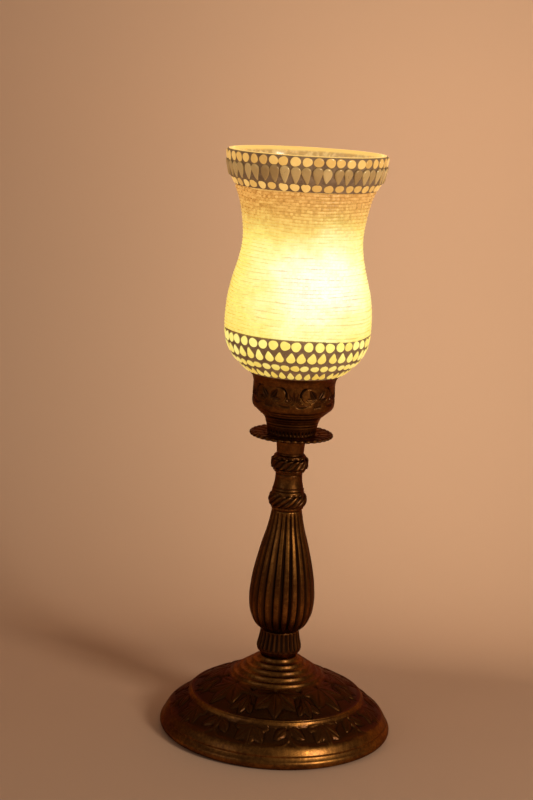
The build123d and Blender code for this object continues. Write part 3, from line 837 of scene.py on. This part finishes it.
def dust_group():
    """Fine speckle and cloudy dirt for plain pieces."""
    def build(tree, given):
        place = object_place(tree)
        fine = noise(tree, place, 900.0, 3.0, 0.6)
        cloud = noise(tree, place, 60.0, 4.0, 0.6)
        both = maths(tree, "ADD", maths(tree, "MULTIPLY", fine, 0.4), maths(tree, "MULTIPLY", cloud, 0.6))
        colour = mix(tree, map_range(tree, both, 0.35, 0.7), given["Clean"], given["Dirty"])
        return {"Colour": colour, "Speckle": fine, "Cloud": cloud}
    return group(
        "Dust And Dirt", [("Clean", COLOUR, (0.5, 0.5, 0.5, 1)), ("Dirty", COLOUR, (0.3, 0.3, 0.3, 1))],
        [("Colour", COLOUR), ("Speckle", FLOAT), ("Cloud", FLOAT)], build,
    )


def new_finish(name):
    material = bpy.data.materials.new(name)
    material.use_nodes = True
    tree = material.node_tree
    shader = tree.nodes["Principled BSDF"]
    return material, tree, shader


def bump_into(tree, shader, height, strength, distance):
    node = add_node(tree, "ShaderNodeBump", {"Height": height, "Strength": strength, "Distance": distance})
    tree.links.new(node.outputs["Normal"], shader.inputs["Normal"])


def kept(build):
    """Makes a finish once and hands back the same material afterwards."""
    def finish():
        name = build.__name__.replace("_", " ")
        if name not in bpy.data.materials:
            build(name)
        return bpy.data.materials[name]
    return finish


@kept
def antique_brass_finish(name):
    """Brown-black patina in the hollows, brown on the ground and rubbed gold on the high places."""
    look = bpy.context.scene.mosaic_lamp_metal
    _, tree, shader = new_finish(name)
    worn = use_group(tree, rubbed_group(), {"Relief": attribute(tree, "relief")})
    ground = mix(tree, worn["Raised"], tuple(look.hollow), tuple(look.patina))
    blotched = mix(tree, maths(tree, "MULTIPLY", worn["Blotch"], 0.5), ground, tuple(look.blotch))
    tree.links.new(mix(tree, worn["Worn"], blotched, tuple(look.rubbed)), shader.inputs["Base Color"])
    tree.links.new(map_range(tree, worn["Worn"], 0, 1, 0.38, 0.25), shader.inputs["Roughness"])
    shader.inputs["Metallic"].default_value = 1.0
    shader.inputs["Specular Tint"].default_value = (0.44, 0.31, 0.19, 1)
    shader.inputs["Coat Weight"].default_value = 0.10
    shader.inputs["Coat Roughness"].default_value = 0.2
    bump_into(tree, shader, worn["Grain"], 0.25, 0.0004)


def glowing(name, rough, coat):
    """A finish lit from behind, with its shared parts: tree, shader, tone and edge."""
    _, tree, shader = new_finish(name)
    shader.inputs["Roughness"].default_value = rough
    shader.inputs["Coat Weight"].default_value = coat
    shader.inputs["Emission Strength"].default_value = 1.0
    shader.inputs["IOR"].default_value = 1.5
    return tree, shader, attribute(tree, "tone"), attribute(tree, "relief")


def shared_out(tree, a, b, share):
    """A weighted sum of two values: the share of the first and the rest of the second."""
    return maths(tree, "ADD", maths(tree, "MULTIPLY", a, share), maths(tree, "MULTIPLY", b, 1 - share))


@kept
def amber_tiles_finish(name):
    """Amber glass tabs with painted light from behind, dim at the upper rim, with painted shade on the edge
    and swirls inside.
    """
    tree, shader, tone, edge = glowing(name, 0.25, 0.3)
    swirl = noise(tree, object_place(tree), 330.0, 3.0)
    body = colour_ramp(tree, shared_out(tree, tone, swirl, 0.6), [
        (0.15, (0.58, 0.30, 0.07)), (0.5, (0.76, 0.42, 0.10)), (0.85, (0.90, 0.55, 0.16)),
    ])
    shaded = mix(tree, map_range(tree, edge, 0.1, 0.8), (0.16, 0.085, 0.03), body)
    tree.links.new(mix(tree, 0.6, shaded, (0.2, 0.13, 0.06)), shader.inputs["Base Color"])
    tree.links.new(mix(tree, 1.0, shaded, (0.92, 0.92, 0.92), "MULTIPLY"), shader.inputs["Emission Color"])
    bump_into(tree, shader, swirl, 0.15, 0.0003)


@kept
def cream_tiles_finish(name):
    """Pale yellow glass tabs with painted light from behind, painted shade on the edge and dimmer lower down.
    """
    tree, shader, tone, edge = glowing(name, 0.25, 0.3)
    swirl = noise(tree, object_place(tree), 300.0, 3.0)
    body = colour_ramp(tree, shared_out(tree, tone, swirl, 0.5), [
        (0.15, (0.90, 0.68, 0.13)), (0.5, (0.97, 0.84, 0.20)), (0.85, (1.0, 0.93, 0.32)),
    ])
    # Painted shade: the lower rows take a browner, dimmer copy of their painted light, further from the bulb.
    low = map_range(tree, object_height(tree), 0.254, 0.276)
    lit = mix(tree, low, mix(tree, 1.0, body, (0.80, 0.66, 0.50), "MULTIPLY"), body)
    shaded = mix(tree, map_range(tree, edge, 0.1, 0.8), (0.30, 0.19, 0.06), lit)
    tree.links.new(mix(tree, 0.7, shaded, (0.2, 0.14, 0.06)), shader.inputs["Base Color"])
    tree.links.new(shaded, shader.inputs["Emission Color"])
    bump_into(tree, shader, swirl, 0.12, 0.0003)


@kept
def glass_beads_finish(name):
    """Pale seed beads full of light, with painted shade in the gaps between strings and beads, and painted
    light that is dimmer and patchier at the shoulder.
    """
    tree, shader, tone, edge = glowing(name, 0.35, 0.15)
    light = use_group(tree, glow_group(), {})
    place = object_place(tree)
    height = object_height(tree)
    patchy = noise(tree, place, 95.0, 4.0, 0.65)
    speck = noise(tree, place, 520.0, 3.0, 0.7)
    high = map_range(tree, height, 0.342, 0.372)
    # Painted light at the shoulder: dimmer and patchy, from brown to bluish white bead by bead.
    dull = colour_ramp(tree, shared_out(tree, tone, speck, 0.3), [
        (0.25, (0.50, 0.38, 0.26)), (0.5, (0.88, 0.84, 0.78)), (0.8, (1.15, 1.25, 1.4)),
    ])
    calm = colour_ramp(tree, shared_out(tree, tone, patchy, 0.35), [
        (0.2, (0.92, 0.88, 0.78)), (0.5, (1.0, 1.0, 1.0)), (0.8, (1.05, 1.05, 1.1)),
    ])
    lit = mix(tree, high, calm, dull)
    streak = use_group(tree, winding_group(), {})["Streak"]
    # Painted shade in the gaps: brown lines along the winding streaks, paler by the painted hot spot and
    # darker at the shoulder.
    gap = mix(tree, streak, (0.94, 0.87, 0.62), (0.62, 0.42, 0.20))
    gap = mix(tree, maths(tree, "MULTIPLY", light["Hot Spot"], 0.75), gap, (1.0, 0.96, 0.86))
    gap = mix(tree, high, gap, (0.42, 0.28, 0.16))
    body = mix(tree, map_range(tree, edge, 0.10, 0.72), gap, lit)
    tree.links.new(mix(tree, 1.0, light["Light"], body, "MULTIPLY"), shader.inputs["Emission Color"])
    tree.links.new(mix(tree, 0.9, body, (0.10, 0.06, 0.02)), shader.inputs["Base Color"])


@kept
def mirror_tiles_finish(name):
    """Tarnished mirror: olive-grey silvering with brown clouds, painted shade on the edges and a painted
    reflection that glows.
    """
    tree, shader, tone, edge = glowing(name, 0.35, 0.4)
    place = object_place(tree)
    cloud = noise(tree, place, 140.0, 5.0, 0.65)
    silver = colour_ramp(tree, shared_out(tree, tone, cloud, 0.6), [
        (0.2, (0.40, 0.26, 0.11)), (0.5, (0.60, 0.42, 0.18)), (0.85, (0.76, 0.56, 0.26)),
    ])
    edged = mix(tree, map_range(tree, edge, 0.1, 0.8), (0.14, 0.095, 0.05), silver)
    tree.links.new(edged, shader.inputs["Base Color"])
    # Painted reflection: the silvering glows with a dimmed copy of its colour, in place of the surroundings
    # it reflects.
    tree.links.new(mix(tree, 1.0, edged, (0.42, 0.35, 0.26), "MULTIPLY"), shader.inputs["Emission Color"])
    shader.inputs["Metallic"].default_value = 0.25
    tree.links.new(map_range(tree, cloud, 0.3, 0.7, 0.25, 0.45), shader.inputs["Roughness"])
    bump_into(tree, shader, cloud, 0.2, 0.0003)


@kept
def grout_finish(name):
    """Sandy grout: mauve-brown, with a little light leaking through it."""
    _, tree, shader = new_finish(name)
    place = object_place(tree)
    sand = noise(tree, place, 900.0, 5.0, 0.7)
    cloud = noise(tree, place, 120.0, 4.0)
    body = colour_ramp(tree, shared_out(tree, sand, cloud, 0.5), [
        (0.3, (0.13, 0.085, 0.055)), (0.5, (0.24, 0.165, 0.105)), (0.72, (0.38, 0.27, 0.17)),
    ])
    tree.links.new(body, shader.inputs["Base Color"])
    tree.links.new(mix(tree, 1.0, body, (1.0, 0.75, 0.5), "MULTIPLY"), shader.inputs["Emission Color"])
    shader.inputs["Emission Strength"].default_value = 0.4
    shader.inputs["Roughness"].default_value = 0.85
    bump_into(tree, shader, sand, 0.6, 0.0006)


@kept
def shade_glass_finish(name):
    """Blown glass full of light, seen from inside and over the rim."""
    _, tree, shader = new_finish(name)
    place = object_place(tree)
    light = use_group(tree, glow_group(), {})["Light"]
    ripple = noise(tree, place, 70.0, 3.0)
    body = mix(tree, ripple, (0.20, 0.12, 0.04), (0.25, 0.16, 0.06))
    tree.links.new(body, shader.inputs["Base Color"])
    height = object_height(tree)
    chips = map_range(tree, noise(tree, place, 260.0, 2.0), 0.40, 0.66)
    backs = mix(tree, chips, (0.46, 0.27, 0.09), (0.72, 0.48, 0.18))
    turns = use_group(tree, winding_group(), {})["Streak"]
    string = mix(tree, 0.35, light, (0.90, 0.62, 0.20))
    shadow = mix(tree, 0.5, light, (0.62, 0.40, 0.13))
    inside = mix(tree, turns, string, shadow)
    below = mix(tree, map_range(tree, height, 0.3760, 0.3785), inside, backs)
    shown = mix(tree, 0.6, light, (0.96, 0.70, 0.20))
    under_rim = map_range(tree, height, 0.3984, 0.3966)
    tree.links.new(mix(tree, under_rim, shown, below), shader.inputs["Emission Color"])
    shader.inputs["Emission Strength"].default_value = 0.9
    shader.inputs["Roughness"].default_value = 0.12
    bump_into(tree, shader, ripple, 0.15, 0.001)


def simple_finish(clean, dirty, metallic, rough, strength):
    """A finish from the dust group: two colours, a metallic value, roughness and a bump."""
    def build(name):
        _, tree, shader = new_finish(name)
        dirt = use_group(tree, dust_group(), {"Clean": (*clean, 1), "Dirty": (*dirty, 1)})
        tree.links.new(dirt["Colour"], shader.inputs["Base Color"])
        roughness = map_range(tree, dirt["Cloud"], 0.3, 0.7, rough, rough + 0.15)
        tree.links.new(roughness, shader.inputs["Roughness"])
        shader.inputs["Metallic"].default_value = metallic
        bump_into(tree, shader, dirt["Speckle"], strength, 0.0005)
    return build


def named_finish(name, build):
    """A plain finish kept under its slot's name."""
    build.__name__ = name
    return kept(build)


@kept
def bulb_glass_finish(name):
    """Clear bulb glass with a breath of warm glow."""
    _, tree, shader = new_finish(name)
    haze = noise(tree, object_place(tree), 60.0, 3.0)
    tree.links.new(mix(tree, haze, (1.0, 0.96, 0.88), (1.0, 0.90, 0.74)), shader.inputs["Base Color"])
    tree.links.new(mix(tree, haze, (1.0, 0.80, 0.45), (1.0, 0.88, 0.58)), shader.inputs["Emission Color"])
    shader.inputs["Emission Strength"].default_value = 0.35
    shader.inputs["Transmission Weight"].default_value = 1.0
    shader.inputs["Roughness"].default_value = 0.02
    shader.inputs["IOR"].default_value = 1.45


@kept
def filament_finish(name):
    """Glowing filament, brighter in its core."""
    _, tree, shader = new_finish(name)
    spark = noise(tree, object_place(tree), 900.0, 2.0)
    tree.links.new(mix(tree, spark, (1.0, 0.62, 0.26), (1.0, 0.84, 0.50)), shader.inputs["Emission Color"])
    tree.links.new(mix(tree, spark, (0.9, 0.6, 0.3), (1.0, 0.8, 0.5)), shader.inputs["Base Color"])
    shader.inputs["Emission Strength"].default_value = 9.0


FINISHES = {
    "antique_brass": antique_brass_finish,
    "amber_tiles": amber_tiles_finish,
    "cream_tiles": cream_tiles_finish,
    "glass_beads": glass_beads_finish,
    "mirror_tiles": mirror_tiles_finish,
    "grout": grout_finish,
    "shade_glass": shade_glass_finish,
    "bulb_glass": bulb_glass_finish,
    "filament": filament_finish,
}
# Clean and dirty colours, metallic, roughness and bump strength of each plain finish.
PLAIN_FINISHES = {
    "felt": ((0.045, 0.09, 0.055), (0.02, 0.045, 0.03), 0.0, 0.9, 0.9),
    "steel": ((0.62, 0.62, 0.63), (0.38, 0.37, 0.36), 1.0, 0.32, 0.2),
    "iron": ((0.10, 0.10, 0.10), (0.16, 0.09, 0.06), 0.3, 0.7, 0.9),
    "plain_brass": ((0.80, 0.58, 0.26), (0.45, 0.28, 0.11), 1.0, 0.28, 0.2),
    "black_plastic": ((0.025, 0.025, 0.025), (0.06, 0.055, 0.05), 0.0, 0.38, 0.3),
    "white_plastic": ((0.82, 0.80, 0.74), (0.62, 0.57, 0.48), 0.0, 0.45, 0.3),
    "brown_insulation": ((0.22, 0.10, 0.045), (0.12, 0.06, 0.03), 0.0, 0.4, 0.2),
    "blue_insulation": ((0.05, 0.13, 0.42), (0.04, 0.08, 0.22), 0.0, 0.4, 0.2),
    "porcelain": ((0.88, 0.86, 0.80), (0.66, 0.60, 0.50), 0.0, 0.15, 0.1),
    "solder": ((0.70, 0.70, 0.70), (0.42, 0.42, 0.42), 1.0, 0.4, 0.5),
    "black_glass": ((0.015, 0.015, 0.02), (0.05, 0.045, 0.04), 0.0, 0.12, 0.1),
    "nickel": ((0.70, 0.68, 0.64), (0.42, 0.39, 0.34), 1.0, 0.2, 0.15),
}
for slot_name, values in PLAIN_FINISHES.items():
    FINISHES[slot_name] = named_finish(slot_name + "_finish", simple_finish(*values))


def dress_cad_nodes():
    """Gives each CAD piece that still shows the procedural finish of its slot."""
    slots = {part["node"]: part["material_slot"] for part in frame["record"]["subparts"]}
    for name, node in frame["nodes"].items():
        for index in range(len(node.material_slots)):
            node.material_slots[index].material = FINISHES[slots[name]]()


# ---- Stage -----------------------------------------------------------------------------------
LAMP_HEIGHT = HIGH["shade_glass"] * MM


def stage_surface():
    """Floor that sweeps up into a wall: a quarter circle joins the two, and the strip is 8 m wide."""
    start, radius = 0.20, 0.40
    bend = [
        (start + radius * math.sin(a), radius - radius * math.cos(a)) for a in np.linspace(0, math.pi / 2, 24)
    ]
    line = np.array([(-3.0, 0.0)] + bend + [(start + radius, 4.5)])
    x = np.array([-4.0, 4.0])
    verts = np.stack([
        np.repeat(x[None], len(line), 0), np.repeat(line[:, :1], 2, 1), np.repeat(line[:, 1:], 2, 1),
    ], -1).reshape(-1, 3)
    faces = [[2 * i, 2 * i + 1, 2 * i + 3, 2 * i + 2] for i in range(len(line) - 1)]
    return verts, faces


def make_stage_floor(look):
    """The floor and wall in one sweep, clear from behind."""
    verts, faces = stage_surface()
    mesh = bpy.data.meshes.new("stage_floor")
    mesh.from_pydata(verts, [], faces)
    mesh.polygons.foreach_set("use_smooth", np.ones(len(mesh.polygons), bool))
    floor = bpy.data.objects.new("stage_floor", mesh)
    bpy.context.scene.collection.objects.link(floor)
    material, tree, shader = new_finish("painted floor")
    tint = noise(tree, object_place(tree), 2.5, 3.0)
    pale = tuple(look.floor)
    tree.links.new(mix(tree, tint, tuple(c * 0.96 for c in pale), pale), shader.inputs["Base Color"])
    behind = add_node(tree, "ShaderNodeNewGeometry").outputs["Backfacing"]
    tree.links.new(maths(tree, "SUBTRACT", 1.0, behind), shader.inputs["Alpha"])
    shader.inputs["Roughness"].default_value = 0.9
    mesh.materials.append(material)


def add_light(name, kind, place, aim, energy, size, colour):
    """A light at a place, turned towards its aim and unseen itself."""
    data = bpy.data.lights.new(name, kind)
    data.energy = energy
    data.color = colour
    if kind == "AREA":
        data.shape = "DISK"
        data.size = size
    else:
        data.shadow_soft_size = size
    light = bpy.data.objects.new(name, data)
    light.location = place
    direction = Vector(aim) - Vector(place)
    light.rotation_euler = direction.to_track_quat("-Z", "Y").to_euler()
    light.visible_camera = False
    bpy.context.scene.collection.objects.link(light)


def add_camera(look):
    """Camera in front of the lamp, tipped down and rolled, from its distance, height and three angles."""
    data = bpy.data.cameras.new("camera")
    data.sensor_fit = "VERTICAL"
    data.sensor_height = 24.0
    data.lens = look.lens
    data.clip_end = 50.0
    camera = bpy.data.objects.new("camera", data)
    yaw, pitch, roll = math.radians(look.yaw), math.radians(look.pitch), math.radians(look.roll)
    forward = Vector((math.sin(yaw) * math.cos(pitch), math.cos(yaw) * math.cos(pitch), -math.sin(pitch)))
    right = Vector((math.cos(yaw), -math.sin(yaw), 0))
    up = right.cross(forward)
    side = math.cos(roll) * right + math.sin(roll) * up
    over = -math.sin(roll) * right + math.cos(roll) * up
    turn = Matrix((side, over, -forward)).transposed().to_4x4()
    camera.matrix_world = Matrix.Translation((0, -look.distance, look.height)) @ turn
    bpy.context.scene.collection.objects.link(camera)
    bpy.context.scene.camera = camera


# ---- Add-on classes --------------------------------------------------------------------------
class MOSAICLAMP_PG_metal(bpy.types.PropertyGroup):
    """Colours of the antique brass."""
    hollow: FloatVectorProperty(
        name="Hollows", description="Patina in the hollows", subtype="COLOR", size=3,
        default=(0.010, 0.005, 0.0025),
    )
    patina: FloatVectorProperty(
        name="Patina", description="Brown of the ground", subtype="COLOR", size=3,
        default=(0.095, 0.034, 0.007),
    )
    blotch: FloatVectorProperty(
        name="Blotches", description="Redder clouds", subtype="COLOR", size=3, default=(0.075, 0.028, 0.008),
    )
    rubbed: FloatVectorProperty(
        name="Rubbed metal", description="Gold of the high places", subtype="COLOR", size=3,
        default=(0.74, 0.32, 0.065),
    )


class MOSAICLAMP_PG_stage(bpy.types.PropertyGroup):
    """Camera, floor and lights."""
    distance: FloatProperty(
        name="Distance", description="Camera to the lamp's axis", unit="LENGTH", default=1.17795,
    )
    height: FloatProperty(
        name="Height", description="Camera above the floor", unit="LENGTH", default=0.46787,
    )
    yaw: FloatProperty(name="Yaw", description="Camera turned to the right, in degrees", default=-0.879)
    pitch: FloatProperty(name="Pitch", description="Camera tipped down, in degrees", default=11.3153)
    roll: FloatProperty(name="Roll", description="Camera rolled, in degrees", default=3.2208)
    lens: FloatProperty(
        name="Lens", description="Focal length for a 24 mm tall sensor, in mm", default=53.394,
    )
    floor: FloatVectorProperty(
        name="Floor", description="Pale floor and wall", subtype="COLOR", size=3, default=(0.74, 0.49, 0.34),
    )
    key: FloatProperty(name="Key light", description="Soft window light", unit="POWER", default=7.8)
    bulb: FloatProperty(name="Bulb", description="Light of the lamp's own bulb", unit="POWER", default=0.5)
    glow: FloatProperty(name="Glow", description="Lamplight on the wall", unit="POWER", default=1.25)


class MOSAICLAMP_OT_foot(bpy.types.Operator):
    """Add the embossed foot"""
    bl_idname = "mosaic_lamp.foot"
    bl_label = "Embossed Foot"

    def execute(self, context):
        make_foot()
        return {"FINISHED"}


class MOSAICLAMP_OT_stem(bpy.types.Operator):
    """Add the collar, the vase, the rope rings, the spool and the neck"""
    bl_idname = "mosaic_lamp.stem"
    bl_label = "Turned Stem"

    def execute(self, context):
        make_stem()
        return {"FINISHED"}


class MOSAICLAMP_OT_cup(bpy.types.Operator):
    """Add the drip pan, the bell and the cup"""
    bl_idname = "mosaic_lamp.cup"
    bl_label = "Drip Pan And Cup"

    def execute(self, context):
        make_cup()
        return {"FINISHED"}


class MOSAICLAMP_OT_mosaic(bpy.types.Operator):
    """Add the rows of tiles and their grout"""
    bl_idname = "mosaic_lamp.mosaic"
    bl_label = "Mosaic Rows"

    def execute(self, context):
        make_mosaic()
        return {"FINISHED"}


class MOSAICLAMP_OT_beads(bpy.types.Operator):
    """Add the wound bead strings"""
    bl_idname = "mosaic_lamp.beads"
    bl_label = "Bead Strings"

    def execute(self, context):
        make_beads()
        return {"FINISHED"}


class MOSAICLAMP_OT_bulb(bpy.types.Operator):
    """Add the bulb's threaded cap"""
    bl_idname = "mosaic_lamp.bulb"
    bl_label = "Bulb Cap"

    def execute(self, context):
        make_bulb()
        return {"FINISHED"}


class MOSAICLAMP_OT_finishes(bpy.types.Operator):
    """Give the CAD pieces that show their finishes"""
    bl_idname = "mosaic_lamp.finishes"
    bl_label = "Finishes"

    def execute(self, context):
        dress_cad_nodes()
        return {"FINISHED"}


class MOSAICLAMP_OT_stage(bpy.types.Operator):
    """Add the floor, the lights and the camera"""
    bl_idname = "mosaic_lamp.stage"
    bl_label = "Stage"

    def execute(self, context):
        look = context.scene.mosaic_lamp_stage
        make_stage_floor(look)
        middle = (0, 0, LAMP_HEIGHT / 2)
        add_light("window", "AREA", (0.98, -0.95, 0.80), middle, look.key, 0.38, (1.0, 0.88, 0.72))
        add_light("fill", "AREA", (-1.5, -1.2, 0.9), middle, look.key * 0.22, 1.0, (1.0, 0.88, 0.78))
        add_light(
            "glow on the wall", "AREA", (0.12, 0.10, 0.37), (0.17, 0.6, 0.40), look.glow, 0.25,
            (1.0, 0.84, 0.62),
        )
        add_light("bulb light", "POINT", (0, 0, 0.312), middle, look.bulb, 0.012, (1.0, 0.72, 0.36))
        world = bpy.data.worlds.new("studio")
        world.use_nodes = True
        background = world.node_tree.nodes["Background"]
        background.inputs["Color"].default_value = (1.0, 0.80, 0.64, 1)
        background.inputs["Strength"].default_value = 0.145
        context.scene.world = world
        context.scene.view_settings.view_transform = "Standard"
        add_camera(look)
        return {"FINISHED"}


class MOSAICLAMP_PT_panel(bpy.types.Panel):
    """Lists the lamp's operators and settings"""
    bl_label = "Mosaic Lamp"
    bl_idname = "MOSAICLAMP_PT_panel"
    bl_space_type = "VIEW_3D"
    bl_region_type = "UI"
    bl_category = "Mosaic Lamp"

    def draw(self, context):
        layout = self.layout
        for operator in OPERATORS:
            layout.operator(operator.bl_idname)
        for settings in (context.scene.mosaic_lamp_metal, context.scene.mosaic_lamp_stage):
            for name in settings.__annotations__:
                layout.prop(settings, name)


OPERATORS = [
    MOSAICLAMP_OT_foot, MOSAICLAMP_OT_stem, MOSAICLAMP_OT_cup, MOSAICLAMP_OT_mosaic, MOSAICLAMP_OT_beads,
    MOSAICLAMP_OT_bulb, MOSAICLAMP_OT_finishes, MOSAICLAMP_OT_stage,
]
GROUPS = [MOSAICLAMP_PG_metal, MOSAICLAMP_PG_stage]


def register():
    for cls in GROUPS + OPERATORS + [MOSAICLAMP_PT_panel]:
        bpy.utils.register_class(cls)
    bpy.types.Scene.mosaic_lamp_metal = PointerProperty(type=MOSAICLAMP_PG_metal)
    bpy.types.Scene.mosaic_lamp_stage = PointerProperty(type=MOSAICLAMP_PG_stage)


def unregister():
    del bpy.types.Scene.mosaic_lamp_stage
    del bpy.types.Scene.mosaic_lamp_metal
    for cls in reversed(GROUPS + OPERATORS + [MOSAICLAMP_PT_panel]):
        bpy.utils.unregister_class(cls)


def main():
    register()
    for operator in OPERATORS:
        group_name, name = operator.bl_idname.split(".")
        getattr(getattr(bpy.ops, group_name), name)()


if __name__ == "__main__":
    main()
